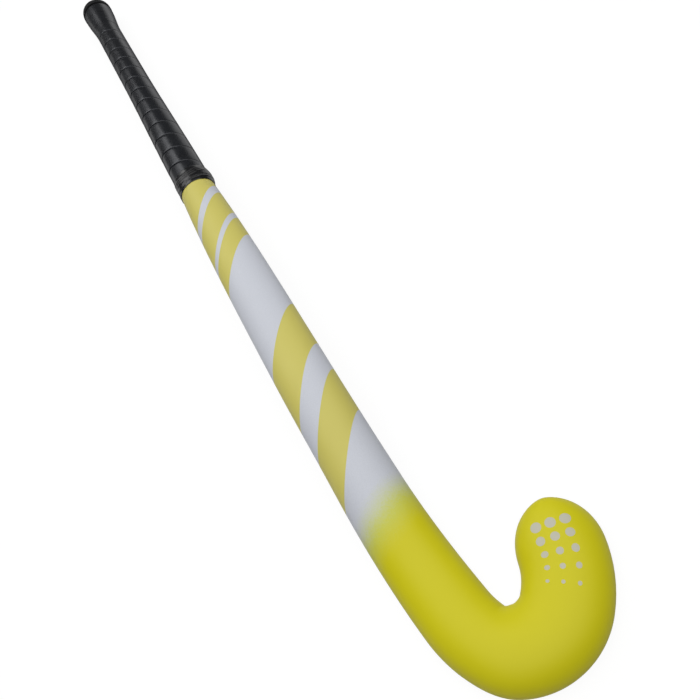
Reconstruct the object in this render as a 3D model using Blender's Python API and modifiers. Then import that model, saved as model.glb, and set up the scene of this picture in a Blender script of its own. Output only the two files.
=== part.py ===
"""An indoor hockey stick of fibre laminate, lying on its flat playing face.

Metres. +X runs from the butt to the head along the shaft's centre line, +Y is the side that
the toe points to, and +Z is up, away from the playing face. The origin is on the playing
face, under the shaft's centre line. The letter s is a distance along the stick's centre
line from the laminate's butt end.
"""

import math

import bmesh
import bpy
import numpy as np
from mathutils import Matrix, Vector

# Overall sizes
LENGTH = 0.927
HEEL = 0.060
BOW = 0.019
BOW_FROM_HEEL = 0.255
FACE_LENGTH = 0.078

# The hook's centre line: a slight bend in the neck, a wide arc that eases it into the tight bend,
# the toe and its rounded end
NECK_TURN = math.radians(7.7)
NECK_RADIUS = 0.700
EASE_TURN = math.radians(14.2)
EASE_RADIUS = 0.071
BEND_TURN = math.radians(113.5)
CROOK_RADIUS = 0.0051
TOE_TURN = math.radians(29.1)
TOE_RADIUS = 0.0594
TOE_ROUND = 0.0313

# The laminate's outer section: width, depth and the radius of the flat side's edges. The handle
# swells towards the shaft and steps in under the tape, and two sections lie at shares of the way
# from the grip to the neck.
HANDLE_WIDTH = 0.0211
HANDLE_DEPTH = 0.0190
HANDLE_EDGE = 0.0092
SWELL_WIDTH = 0.0252
SWELL_TO_TAPE = 0.004
STEP_IN = 0.0031
TOP_WIDTH = 0.0312
TOP_DEPTH = 0.0246
TOP_EDGE = 0.0112
MIDDLE_WIDTH = 0.0411
MIDDLE_DEPTH = 0.0215
MIDDLE_EDGE = 0.0070
MIDDLE_SHARE = 0.70
LOW_WIDTH = 0.0416
LOW_DEPTH = 0.0210
LOW_EDGE = 0.0055
LOW_SHARE = 0.88
NECK_WIDTH = 0.0426
BEND_START_WIDTH = 0.0448
BEND_HOLD = 0.25
BEND_WIDTH = 0.0504
TOE_WIDTH = 0.0506
HEAD_DEPTH = 0.0221
HEAD_EDGE = 0.0060

# Walls and fits
WALL = 0.0024
TUBE_WALL = 0.0011
FIT = 0.0003
TUBE_FIT = 0.0005

# The grip
GRIP_LENGTH = 0.434
HANDLE_TAPER = 0.190
SHOULDER_LENGTH = 0.006
UNDERLAY = 0.0010
STRIP = 0.0017
STRIP_LAP = 0.0005
STRIP_PITCH = 0.0257
STRIP_GAP = 0.0007
STRIP_POINT = 0.0020
TAPE = 0.0006
TAPE_WIDTH = 0.026
TAPE_ON_SHAFT = 0.004
TUCK = 0.0011
TUCK_ANGLE = math.radians(15)

# The butt
FLARE = 0.0031
RIM_ROUND = 0.0065
CAP_LENGTH = 0.010
CAP_FLOOR = 0.0028
CAP_BEVEL = 0.0012
STEM_BEVEL = 0.0010
STEM_RADIUS = 0.0040
STEM_LENGTH = 0.018
FLARE_LENGTH = 0.072
PLUG_LENGTH = 0.060

# How finely the round shapes are cut
BACK_STEPS = 12
EDGE_STEPS = 5
FACE_STEPS = 2
TURN_STEPS = BACK_STEPS + 2 * EDGE_STEPS + FACE_STEPS
TUBE_EDGE_STEPS = 3
TOE_STEPS = 7
TOE_LAST = math.radians(88.5)
CAP_STEPS = 24
RIM_STEPS = 5
SHARPEST = 0.0002
SLOPE_STEP = 0.0005
SHARP_ANGLE = math.radians(40)

COLOURS = {
    "painted_laminate": ((0.52, 0.49, 0.10), 0.35),
    "bare_laminate": ((0.03, 0.03, 0.035), 0.45),
    "foam": ((0.62, 0.52, 0.30), 0.90),
    "rubber": ((0.02, 0.02, 0.022), 0.65),
    "cushion": ((0.06, 0.06, 0.065), 0.80),
    "grip_strip": ((0.075, 0.078, 0.085), 0.55),
    "tape": ((0.02, 0.02, 0.021), 0.40),
}


def clear_scene():
    for obj in list(bpy.data.objects):
        bpy.data.objects.remove(obj, do_unlink=True)


def new_collection(name):
    collection = bpy.data.collections.new(name)
    bpy.context.scene.collection.children.link(collection)
    return collection


def material(slot):
    colour, roughness = COLOURS[slot]
    made = bpy.data.materials.get(slot) or bpy.data.materials.new(slot)
    made.use_nodes = True
    shader = made.node_tree.nodes["Principled BSDF"]
    shader.inputs["Base Color"].default_value = (*colour, 1.0)
    shader.inputs["Roughness"].default_value = roughness
    return made


def smooth_curve(at, values):
    """A curve through the values that never overshoots them, as a function of the distance."""
    at = np.asarray(at, float)
    values = np.asarray(values, float)
    run = np.diff(at)
    rise = np.diff(values) / run
    slope = np.zeros(len(at))
    slope[0], slope[-1] = rise[0], rise[-1]
    for i in range(1, len(at) - 1):
        if rise[i - 1] * rise[i] > 0:
            before, after = 2 * run[i] + run[i - 1], run[i] + 2 * run[i - 1]
            slope[i] = (before + after) / (before / rise[i - 1] + after / rise[i])

    def value(s):
        i = int(np.clip(np.searchsorted(at, s) - 1, 0, len(run) - 1))
        t = min(max((s - at[i]) / run[i], 0.0), 1.0)
        start = values[i] * (1 + 2 * t) * (1 - t) ** 2 + slope[i] * run[i] * t * (1 - t) ** 2
        return start + values[i + 1] * t * t * (3 - 2 * t) - slope[i + 1] * run[i] * t * t * (1 - t)

    return value


def hook_arcs():
    """Turn and radius of each arc of the hook's centre line."""
    bend = (BEND_TURN, CROOK_RADIUS + BEND_WIDTH / 2)
    return ((NECK_TURN, NECK_RADIUS), (EASE_TURN, EASE_RADIUS), bend, (TOE_TURN, TOE_RADIUS))


def hook_point(s):
    """(x, y, heading) on the centre line, s past the place where the straight shaft ends."""
    x = y = heading = 0.0
    for turn, radius in hook_arcs():
        part = min(max(s / radius, 0.0), turn)
        x += radius * (math.sin(heading + part) - math.sin(heading))
        y += radius * (math.cos(heading) - math.cos(heading + part))
        heading += part
        s -= turn * radius
    ahead = max(s, 0.0)
    return x + ahead * math.cos(heading), y + ahead * math.sin(heading), heading


def hook_lengths():
    """Distances past the straight shaft where each arc ends. The rounded toe starts at the last."""
    lengths = np.cumsum([turn * radius for turn, radius in hook_arcs()])
    return [float(length) for length in lengths]


BEND_START, _, BEND_END, TOE_START = hook_lengths()
BEND_SWELLS = BEND_START + BEND_HOLD * (BEND_END - BEND_START)
HOOK_WIDTH = smooth_curve(
    (0.0, BEND_START, BEND_SWELLS, (BEND_START + BEND_END) / 2, BEND_END, TOE_START),
    (NECK_WIDTH, BEND_START_WIDTH, BEND_START_WIDTH, BEND_WIDTH, TOE_WIDTH, TOE_WIDTH),
)


def heel_reach():
    """How far the hook's outer edge goes past the place where the straight shaft ends."""
    reach = 0.0
    for s in np.linspace(0.0, TOE_START, 400):
        x, _, heading = hook_point(s)
        reach = max(reach, x + HOOK_WIDTH(s) / 2 * math.sin(heading))
    return reach


STRAIGHT = LENGTH - CAP_FLOOR - heel_reach()
BUTT_X = HEEL - LENGTH + CAP_FLOOR
HANDLE_END = GRIP_LENGTH - TAPE_ON_SHAFT - SHOULDER_LENGTH
SWELL_END = GRIP_LENGTH - TAPE_WIDTH - SWELL_TO_TAPE
SHAFT_START = HANDLE_END + SHOULDER_LENGTH
MIDDLE = SHAFT_START + MIDDLE_SHARE * (STRAIGHT - SHAFT_START)
LOW = SHAFT_START + LOW_SHARE * (STRAIGHT - SHAFT_START)
STATIONS = (0.0, HANDLE_TAPER, SWELL_END, HANDLE_END, SHAFT_START)
STATIONS += (MIDDLE, LOW, STRAIGHT, STRAIGHT + BEND_START)
UNDER_TAPE = TOP_WIDTH - 2 * STEP_IN
WIDTH = smooth_curve(
    STATIONS,
    (HANDLE_WIDTH, HANDLE_WIDTH, SWELL_WIDTH, UNDER_TAPE, TOP_WIDTH)
    + (MIDDLE_WIDTH, LOW_WIDTH, NECK_WIDTH, BEND_START_WIDTH),
)
DEPTH = smooth_curve(
    STATIONS,
    (HANDLE_DEPTH,) * 4 + (TOP_DEPTH, MIDDLE_DEPTH, LOW_DEPTH, HEAD_DEPTH, HEAD_DEPTH),
)
EDGE = smooth_curve(
    STATIONS,
    (HANDLE_EDGE,) * 4 + (TOP_EDGE, MIDDLE_EDGE, LOW_EDGE, HEAD_EDGE, HEAD_EDGE),
)


def section(s):
    """(width, depth, edge radius) of the laminate's outside at s."""
    if s > STRAIGHT:
        return HOOK_WIDTH(s - STRAIGHT), HEAD_DEPTH, HEAD_EDGE
    return WIDTH(s), DEPTH(s), EDGE(s)


def outline(size, inset=0.0):
    """Points of a section, across and up: a rounded back, two rounded edges and a flat face."""
    width, depth, edge = size
    half, edge = width / 2 - inset, max(edge - inset, SHARPEST)
    middle = edge + inset
    crown = depth - inset - middle
    points = []
    for i in range(BACK_STEPS):
        a = math.pi * i / BACK_STEPS
        points.append((half * math.cos(a), middle + crown * math.sin(a)))
    for i in range(EDGE_STEPS):
        a = math.pi / 2 * i / EDGE_STEPS
        points.append((-half + edge - edge * math.cos(a), middle - edge * math.sin(a)))
    for i in range(FACE_STEPS):
        points.append(((half - edge) * (2 * i / FACE_STEPS - 1), middle - edge))
    for i in range(EDGE_STEPS):
        a = math.pi / 2 * (1 - i / EDGE_STEPS)
        points.append((half - edge + edge * math.cos(a), middle - edge * math.sin(a)))
    return points


def butt_radius():
    """The laminate's farthest reach from the cap's axis at its butt end."""
    return max(math.hypot(u, v - HANDLE_DEPTH / 2) for u, v in outline(section(0.0)))


GRIP_THICKNESS = FIT + UNDERLAY + FIT + STRIP + STRIP_LAP
RIM_RADIUS = butt_radius() + GRIP_THICKNESS + FLARE


def bow_slope_at_butt():
    """The slope that the bow's curve has at the butt, where the cap's rim rests on the floor."""
    span = HEEL - BOW_FROM_HEEL - BUTT_X
    return 1.5 * (BOW - (RIM_RADIUS - HANDLE_DEPTH / 2)) / span


TILT = math.atan(bow_slope_at_butt())
BUTT_LIFT = (RIM_RADIUS - HANDLE_DEPTH / 2) * math.cos(TILT)


def lift(x):
    """Height of the flat side above the floor: nothing under the head and most at the bow."""
    peak = HEEL - BOW_FROM_HEEL
    flat = HEEL - FACE_LENGTH
    if x >= flat:
        return 0.0
    if x >= peak:
        t = (flat - x) / (flat - peak)
        return BOW * t * t * (3 - 2 * t)
    t = (peak - x) / (peak - BUTT_X)
    return BOW - (BOW - BUTT_LIFT) * t * t * (3 - t) / 2


def spot(s):
    """The flat side's centre at s, with the directions ahead, across and up."""
    if s < STRAIGHT:
        x, y, heading = BUTT_X + s, 0.0, 0.0
    else:
        x, y, heading = hook_point(s - STRAIGHT)
        x += BUTT_X + STRAIGHT
    slope = (lift(x + SLOPE_STEP) - lift(x - SLOPE_STEP)) / (2 * SLOPE_STEP) * math.cos(heading)
    ahead = Vector((math.cos(heading), math.sin(heading), slope)).normalized()
    across = Vector((-math.sin(heading), math.cos(heading), 0.0))
    return Vector((x, y, lift(x))), ahead, across, ahead.cross(across)


def place(points, s):
    base, _, across, up = spot(s)
    return [base + across * u + up * v for u, v in points]


def ring(s, inset=0.0):
    return place(outline(section(s), inset), s)


def toe_rings(inset):
    """Rings that close the toe in a round end, drawn in about the middle of its edge."""
    end = STRAIGHT + TOE_START
    width, depth, edge = section(end)
    rings = []
    for i in range(1, TOE_STEPS + 1):
        a = TOE_LAST * math.sin(math.pi / 2 * i / TOE_STEPS)
        s = end + (TOE_ROUND - inset) * math.sin(a)
        shrink = math.sqrt(math.cos(a))
        points = outline((width, depth, edge), inset)
        points = [(u * math.cos(a), edge + (v - edge) * shrink) for u, v in points]
        rings.append(place(points, s))
    return rings


def spaced(start, end, steps):
    """Places at even steps after the start, up to the end."""
    return [start + (end - start) * (i + 1) / steps for i in range(steps)]


def shell_stations():
    """Where the laminate has a ring: few on the straight handle, many where it swells, bows and bends."""
    peak = HEEL - BOW_FROM_HEEL - BUTT_X
    places = [0.0] + spaced(0.0, HANDLE_TAPER, 3) + spaced(HANDLE_TAPER, SWELL_END, 4)
    places += spaced(SWELL_END, HANDLE_END, 2) + spaced(HANDLE_END, SHAFT_START, 3)
    places += spaced(SHAFT_START, peak, 6) + spaced(peak, STRAIGHT, 4)
    places += spaced(STRAIGHT, STRAIGHT + BEND_START, 4)
    places += spaced(STRAIGHT + BEND_START, STRAIGHT + BEND_END, 16)
    return places + spaced(STRAIGHT + BEND_END, STRAIGHT + TOE_START, 2)


def stations_between(start, end):
    """The laminate's own stations between two places, so that what lies inside it keeps its shape."""
    nearest = 0.001
    return [start] + [s for s in shell_stations() if start + nearest < s < end - nearest] + [end]


def loft(name, rings, slot, collection, closed_loop=False):
    """A solid through the rings, closed at both ends, or joined round to its first ring."""
    made = bmesh.new()
    rows = [[made.verts.new(point) for point in points] for points in rings]
    pairs = list(zip(rows, rows[1:]))
    if closed_loop:
        pairs.append((rows[-1], rows[0]))
    for low, high in pairs:
        for i in range(len(low)):
            j = (i + 1) % len(low)
            made.faces.new((low[i], low[j], high[j], high[i]))
    if not closed_loop:
        made.faces.new(list(reversed(rows[0])))
        made.faces.new(rows[-1])
    return finish(name, made, slot, collection)


def finish(name, made, slot, collection):
    bmesh.ops.recalc_face_normals(made, faces=made.faces)
    mesh = bpy.data.meshes.new(name)
    made.to_mesh(mesh)
    made.free()
    mesh.shade_smooth()
    mesh.set_sharp_from_angle(angle=SHARP_ANGLE)
    mesh.materials.append(material(slot))
    obj = bpy.data.objects.new(name, mesh)
    collection.objects.link(obj)
    return obj


def outer_shell(collection):
    """The moulded laminate: out along its surface to the toe and back inside, open at the butt."""
    places = shell_stations()
    outside = [ring(s) for s in places] + toe_rings(0.0)
    inside = [ring(s, WALL) for s in places] + toe_rings(WALL)
    made = bmesh.new()
    sides = []
    for rings in (outside, inside):
        rows = [[made.verts.new(point) for point in points] for points in rings]
        for low, high in zip(rows, rows[1:]):
            for i in range(TURN_STEPS):
                j = (i + 1) % TURN_STEPS
                made.faces.new((low[i], low[j], high[j], high[i]))
        made.faces.new(rows[-1])
        sides.append(rows)
    for i in range(TURN_STEPS):
        j = (i + 1) % TURN_STEPS
        made.faces.new((sides[0][0][i], sides[0][0][j], sides[1][0][j], sides[1][0][i]))
    return finish("outer_shell", made, "painted_laminate", collection)


def half_outline(size, inset, web):
    """The half of a section on the side of positive u, with a flat web at that distance from the middle."""
    width, depth, edge = size
    half, edge = width / 2 - inset, max(edge - inset, SHARPEST)
    middle = edge + inset
    crown = depth - inset - middle
    quarter = BACK_STEPS // 2
    points = []
    for i in range(quarter):
        a = math.pi / 2 * (1 - i / quarter)
        points.append((web + (half - web) * math.cos(a), middle + crown * math.sin(a)))
    for i in range(TUBE_EDGE_STEPS + 1):
        a = math.pi / 2 * i / TUBE_EDGE_STEPS
        points.append((half - edge + edge * math.cos(a), middle - edge * math.sin(a)))
    points.append((web, middle - edge))
    return points


def inner_tube(name, side, collection):
    """One of the two tubes inside the shaft, open at both ends."""
    places = stations_between(PLUG_LENGTH + FIT, STRAIGHT + BEND_START - FIT)

    def half_ring(s, wall):
        points = half_outline(section(s), WALL + TUBE_FIT + wall, FIT / 2 + wall)
        return place([(side * u, v) for u, v in points], s)

    rings = [half_ring(s, 0.0) for s in places] + [half_ring(s, TUBE_WALL) for s in reversed(places)]
    return loft(name, rings, "bare_laminate", collection, closed_loop=True)


def head_core(collection):
    inset = WALL + FIT
    places = stations_between(STRAIGHT + BEND_START, STRAIGHT + TOE_START)
    rings = [ring(s, inset) for s in places] + toe_rings(inset)
    return loft("head_core", rings, "foam", collection)


def butt_plug(collection):
    """The foam plug, with a blind hole for the cap's stem."""
    inset = WALL + FIT
    places = stations_between(0.0, PLUG_LENGTH)
    bore = STEM_RADIUS + FIT
    depth = STEM_LENGTH + FIT
    centre = HANDLE_DEPTH / 2

    def hole(s):
        turns = [2 * math.pi * i / TURN_STEPS for i in range(TURN_STEPS)]
        return place([(bore * math.cos(a), centre + bore * math.sin(a)) for a in turns], s)

    rings = [hole(depth), hole(0.0)] + [ring(s, inset) for s in places]
    return loft("butt_plug", rings, "foam", collection)


def flare(s):
    """How much thicker the underlay is at s, to reach the cap's rim."""
    t = min(max(1 - (s - CAP_LENGTH) / (FLARE_LENGTH - CAP_LENGTH), 0.0), 1.0)
    return FLARE * t * t * (3 - 2 * t)


def underlay_outset(s):
    return FIT + UNDERLAY + flare(s)


def grip_stations(start, end):
    places = [start] + spaced(start, FLARE_LENGTH, 6)
    places += spaced(FLARE_LENGTH, HANDLE_TAPER, 2) + spaced(HANDLE_TAPER, SWELL_END, 4)
    return places + spaced(SWELL_END, end, 2)


def grip_underlay(collection):
    places = grip_stations(CAP_LENGTH + FIT, HANDLE_END - FIT)
    rings = [ring(s, -underlay_outset(s)) for s in places] + [ring(s, -FIT) for s in reversed(places)]
    return loft("grip_underlay", rings, "cushion", collection, closed_loop=True)


def strip_edges(turn, start, end):
    """Where the strip's two edges are at this turn. Both its ends are cut square to the handle."""
    low = start - STRIP_PITCH + STRIP_POINT + turn * STRIP_PITCH
    high = low + STRIP_PITCH - STRIP_GAP
    return max(low, start), min(high, end)


def grip_strip(collection):
    """The strip in one unbroken helix, a little thicker at its head side, where it laps the next turn."""
    start, end = CAP_LENGTH + FIT, HANDLE_END - FIT
    turns = (end - start - STRIP_POINT) / STRIP_PITCH + 1 - STRIP_POINT / STRIP_PITCH
    count = int(turns * TURN_STEPS) + 1
    rings = []
    for i in range(count):
        low, high = strip_edges(i / TURN_STEPS, start, end)
        corner = -i % TURN_STEPS
        corners = []
        under = ((low, 0.0), ((low + high) / 2, 0.0), (high, 0.0))
        for s, rise in under + ((high, STRIP + STRIP_LAP), (low, STRIP)):
            corners.append(ring(s, -underlay_outset(s) - FIT - rise)[corner])
        rings.append(corners)
    print_gaps(rings)
    return loft("grip_strip", rings, "grip_strip", collection)


def print_gaps(rings):
    """Prints the least distance between a turn's edge at its head side and the next turn's."""
    least = min(
        (one - other).length
        for here, after in zip(rings, rings[TURN_STEPS:])
        for one in (here[2], here[3])
        for other in (after[0], after[4])
    )
    print(f"grip strip: {len(rings) / TURN_STEPS:.1f} turns, least gap to itself {least * 1000:.2f} mm")


def tape_bulge(corner):
    """The tape's share of its fullest bulge at a corner, full over the strip's end at the toe side."""
    a = 2 * math.pi * corner / TURN_STEPS
    return max(math.cos(a - TUCK_ANGLE), 0.0) ** 3


def finishing_tape(collection):
    """The band over the strip's end, which steps down from the strip to the bare shaft."""
    start = GRIP_LENGTH - TAPE_WIDTH
    over_strip = GRIP_THICKNESS + FIT
    swell = spaced(start, HANDLE_END, 5)
    step_down = spaced(HANDLE_END, SHAFT_START, 2)
    lip = spaced(SHAFT_START, GRIP_LENGTH, 2)
    bulges = ((start, 0.0), (swell[0], 0.4), (swell[3], 1.0), (HANDLE_END, 1.0), (step_down[0], 0.9))
    bulges += ((SHAFT_START, 0.6), (lip[0], 0.3), (GRIP_LENGTH, 0.0))
    inside, outside = [], []
    for s, share in bulges:
        t = min(max((s - HANDLE_END) / SHOULDER_LENGTH, 0.0), 1.0)
        inner = over_strip * (1 - t) + FIT * t
        inside.append(ring(s, -inner))
        low, high = ring(s, -inner - TAPE), ring(s, -inner - TAPE - TUCK)
        outside.append([low[i].lerp(high[i], share * tape_bulge(i)) for i in range(TURN_STEPS)])
    rings = outside + list(reversed(inside))
    return loft("finishing_tape", rings, "tape", collection, closed_loop=True)


def butt_cap(collection):
    """A turned rubber cap: a rounded rim over the laminate's end and a stem in the plug."""
    skirt = butt_radius() + FIT
    flat = RIM_RADIUS - RIM_ROUND
    profile = [(0.0, -CAP_FLOOR)]
    for i in range(RIM_STEPS + 1):
        a = math.pi / 2 * i / RIM_STEPS
        profile.append((flat + RIM_ROUND * math.sin(a), -CAP_FLOOR + RIM_ROUND * (1 - math.cos(a))))
    profile += [(RIM_RADIUS, CAP_LENGTH - CAP_BEVEL), (RIM_RADIUS - CAP_BEVEL, CAP_LENGTH)]
    profile += [(skirt, CAP_LENGTH), (skirt, -FIT)]
    profile += [(STEM_RADIUS, -FIT), (STEM_RADIUS, STEM_LENGTH - STEM_BEVEL)]
    profile += [(STEM_RADIUS - STEM_BEVEL, STEM_LENGTH), (0.0, STEM_LENGTH)]
    mesh = bpy.data.meshes.new("butt_cap")
    edges = [(i, i + 1) for i in range(len(profile) - 1)]
    mesh.from_pydata([(r, 0.0, -h) for r, h in profile], edges, [])
    obj = bpy.data.objects.new("butt_cap", mesh)
    collection.objects.link(obj)
    screw = obj.modifiers.new("turned", "SCREW")
    screw.steps = screw.render_steps = CAP_STEPS
    screw.use_merge_vertices = True
    screw.merge_threshold = 0.00001
    screw.use_smooth_shade = True
    mesh.materials.append(material("rubber"))
    base, ahead, across, up = spot(0.0)
    centre = base + up * (HANDLE_DEPTH / 2)
    turned = Matrix((across, up, -ahead)).transposed().to_4x4()
    obj.matrix_world = Matrix.Translation(centre) @ turned
    return obj


def main():
    clear_scene()
    stick = new_collection("indoor_hockey_stick")
    outer_shell(stick)
    inner_tube("heel_side_tube", -1, stick)
    inner_tube("toe_side_tube", 1, stick)
    head_core(stick)
    butt_plug(stick)
    butt_cap(stick)
    grip_underlay(stick)
    grip_strip(stick)
    finishing_tape(stick)


main()
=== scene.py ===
"""An indoor hockey stick, lying on its flat playing face on a pale studio floor.

Metres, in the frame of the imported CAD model. +X runs from the butt to the head along the
shaft's centre line, +Y is the side that the toe points to and +Z is up, away from the playing
face. The letter s is a distance along the stick's centre line from the laminate's butt end, u
is a distance across it towards +Y, and v is a height above the flat side.
"""

import math

import bpy
import numpy as np
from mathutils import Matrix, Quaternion, Vector


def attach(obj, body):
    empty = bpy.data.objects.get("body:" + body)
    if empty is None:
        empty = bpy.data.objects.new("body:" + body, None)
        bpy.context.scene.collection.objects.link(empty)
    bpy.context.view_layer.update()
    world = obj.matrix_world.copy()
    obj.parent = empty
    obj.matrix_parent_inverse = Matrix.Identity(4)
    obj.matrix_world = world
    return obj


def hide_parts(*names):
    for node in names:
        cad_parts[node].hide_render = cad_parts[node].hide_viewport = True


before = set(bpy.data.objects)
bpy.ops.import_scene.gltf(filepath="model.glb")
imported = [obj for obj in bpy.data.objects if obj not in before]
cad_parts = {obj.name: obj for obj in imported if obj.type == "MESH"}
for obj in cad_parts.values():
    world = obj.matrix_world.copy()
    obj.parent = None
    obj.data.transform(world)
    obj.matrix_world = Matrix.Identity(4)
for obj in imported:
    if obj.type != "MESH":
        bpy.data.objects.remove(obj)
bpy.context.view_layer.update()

# The camera
# It stands beyond the head, less than half a metre up, and looks down and back along the stick
# towards the butt. It is turned about its own axis, so that the stick runs across the picture.
CAMERA_PLACE = Vector((0.1562, 0.0445, 0.4542))
CAMERA_AIM = Vector((-0.2104, 0.0366, 0.0))
CAMERA_ROLL = math.radians(34.40)
CAMERA_LENS = 40.80
CAMERA_SENSOR = 36.0
CAMERA_NEAR = 0.02

camera_data = bpy.data.cameras.new("camera")
camera_data.lens = CAMERA_LENS
camera_data.sensor_width = CAMERA_SENSOR
camera_data.clip_start = CAMERA_NEAR
camera = bpy.data.objects.new("camera", camera_data)
bpy.context.scene.collection.objects.link(camera)
camera.rotation_mode = "QUATERNION"
camera.location = CAMERA_PLACE
level = (CAMERA_AIM - CAMERA_PLACE).to_track_quat("-Z", "Y")
camera.rotation_quaternion = level @ Quaternion((0.0, 0.0, 1.0), -CAMERA_ROLL)
bpy.context.scene.camera = camera

# The two inner tubes
# The shaft is moulded over two long tubes that lie side by side, so that their touching walls
# make a web inside it. They are cured carbon fibre laminate, left bare, and never seen.
WEAVE_CELL = 0.004
WEAVE_RESIN = "#101113"
WEAVE_TOW = "#2a2c30"


def linear(colour):
    """The linear red, green, blue and alpha of an sRGB hex colour."""
    parts = [int(colour[i:i + 2], 16) / 255 for i in (1, 3, 5)]
    return [c / 12.92 if c <= 0.04045 else ((c + 0.055) / 1.055) ** 2.4 for c in parts] + [1.0]


def in_use(sockets, name=None):
    """The first socket of that name that the node's settings leave in use, or of any name."""
    return next(socket for socket in sockets if socket.enabled and name in (None, socket.name))


def add(tree, kind, inputs=(), **settings):
    """Adds a node with its settings. An input gets a value, or the node or output that feeds it."""
    made = tree.nodes.new(kind)
    for name, value in settings.items():
        setattr(made, name, value)
    for name, value in dict(inputs).items():
        socket = made.inputs[name] if isinstance(name, int) else in_use(made.inputs, name)
        if isinstance(value, bpy.types.Node):
            value = in_use(value.outputs)
        if isinstance(value, bpy.types.NodeSocket):
            tree.links.new(value, socket)
        else:
            socket.default_value = value
    return made


def new_material(name, roughness, colour="#808080", **more):
    """A material with its shader, whose plain values are set on the shader's own sockets."""
    made = bpy.data.materials.new(name)
    made.use_nodes = True
    shader = made.node_tree.nodes["Principled BSDF"]
    shader.inputs["Base Color"].default_value = linear(colour)
    shader.inputs["Roughness"].default_value = roughness
    for socket, value in more.items():
        shader.inputs[socket.replace("_", " ")].default_value = value
    return made, made.node_tree, shader


def feed(tree, shader, **sources):
    """Links nodes to the shader's sockets of those names."""
    for socket, source in sources.items():
        tree.links.new(in_use(source.outputs), shader.inputs[socket.replace("_", " ")])


def dress(piece, material):
    """Gives the piece that one material."""
    piece.data.materials.clear()
    piece.data.materials.append(material)


# Cured carbon twill: dark glossy resin over tows that turn from one direction to the other in
# squares, which gives a fine checked sheen.
weave, tree, shader = new_material("cured_carbon_twill", 0.32, Coat_Weight=0.4, Coat_Roughness=0.15)
place = add(tree, "ShaderNodeTexCoord").outputs["Object"]
checks = add(tree, "ShaderNodeTexChecker", {"Vector": place, "Scale": 1 / WEAVE_CELL,
             "Color1": linear(WEAVE_RESIN), "Color2": linear(WEAVE_TOW)})
threads = add(tree, "ShaderNodeTexWave", {"Vector": place, "Scale": 0.8 / WEAVE_CELL,
              "Distortion": 0.6}, bands_direction="DIAGONAL")
relief = add(tree, "ShaderNodeBump", {"Height": threads.outputs["Fac"], "Strength": 0.4,
             "Distance": 0.0002})
feed(tree, shader, Base_Color=checks, Normal=relief)
for name in ("heel_side_tube", "toe_side_tube"):
    dress(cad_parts[name], weave)

# The foam in the head and in the butt
# A stiff polyurethane foam core fills the hook, and a plug of the same foam closes the shaft's
# butt end and takes the stem of the cap. Both are cut to shape before the laminate is moulded.
FOAM_CELL = 0.0009
FOAM = "#cfb98a"
FOAM_DARK = "#a98f5c"

# Rigid polyurethane foam: a matt straw colour broken up by small open cells.
foam, tree, shader = new_material("rigid_polyurethane_foam", 0.92)
place = add(tree, "ShaderNodeTexCoord").outputs["Object"]
cells = add(tree, "ShaderNodeTexVoronoi", {"Vector": place, "Scale": 1 / FOAM_CELL})
shades = add(tree, "ShaderNodeMix", {"Factor": cells.outputs["Distance"], "A": linear(FOAM_DARK),
             "B": linear(FOAM)}, data_type="RGBA")
relief = add(tree, "ShaderNodeBump", {"Height": cells.outputs["Distance"], "Strength": 0.6,
             "Distance": 0.0003})
feed(tree, shader, Base_Color=shades, Normal=relief)
for name in ("head_core", "butt_plug"):
    dress(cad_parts[name], foam)

# The moulded laminate
# Layers of glass and carbon fibre in epoxy, pressed round the tubes and the foam in a mould: a
# hollow shaft with a rounded back and a flat playing face, bent and closed at the toe. It is
# sprayed, printed and lacquered. Its form is the CAD model's, cut finer.
LENGTH = 0.927
HEEL = 0.060
BOW = 0.019
BOW_FROM_HEEL = 0.255
FACE_LENGTH = 0.078
WALL = 0.0024

# The hook's centre line is four arcs in a row, and the toe is rounded off past the last one.
NECK_TURN = math.radians(7.7)
NECK_RADIUS = 0.700
EASE_TURN = math.radians(14.2)
EASE_RADIUS = 0.071
BEND_TURN = math.radians(113.5)
CROOK_RADIUS = 0.0051
TOE_TURN = math.radians(29.1)
TOE_RADIUS = 0.0594
TOE_ROUND = 0.0313
TOE_LAST = math.radians(88.5)

# The section's width, its depth from the face to the back and its edges' radius, from the butt on.
HANDLE_WIDTH, HANDLE_DEPTH, HANDLE_EDGE = 0.0211, 0.0190, 0.0092
SWELL_WIDTH = 0.0252
STEP_IN = 0.0031
TOP_WIDTH, TOP_DEPTH, TOP_EDGE = 0.0312, 0.0246, 0.0112
MIDDLE_WIDTH, MIDDLE_DEPTH, MIDDLE_EDGE, MIDDLE_SHARE = 0.0411, 0.0215, 0.0070, 0.70
LOW_WIDTH, LOW_DEPTH, LOW_EDGE, LOW_SHARE = 0.0416, 0.0210, 0.0055, 0.88
NECK_WIDTH = 0.0426
BEND_START_WIDTH = 0.0448
BEND_HOLD = 0.25
BEND_WIDTH = 0.0504
TOE_WIDTH = 0.0506
HEAD_DEPTH = 0.0221
HEAD_EDGE = 0.0060

# What lies where on the handle, and how thick it is.
GRIP_LENGTH = 0.434
TAPE_ON_SHAFT = 0.004
SHOULDER_LENGTH = 0.006
HANDLE_TAPER = 0.190
TAPE_WIDTH = 0.026
SWELL_TO_TAPE = 0.004
FIT = 0.0003
UNDERLAY = 0.0010
STRIP = 0.0017
STRIP_LAP = 0.0005
FLARE = 0.0031
CAP_FLOOR = 0.0028

# How finely the mesh is cut.
SHARPEST = 0.0002
SLOPE_STEP = 0.0005
SHARP_ANGLE = math.radians(40)
BACK_SIDES = 48
EDGE_SIDES = 20
FACE_SIDES = 8
SIDES = BACK_SIDES + 2 * EDGE_SIDES + FACE_SIDES
HANDLE_RINGS, SHOULDER_RINGS, SHAFT_RINGS = 56, 6, 64
NECK_RINGS, BEND_RINGS, TOE_RINGS, TOE_END_RINGS = 24, 72, 8, 24
REACH_TRIES = 400

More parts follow.
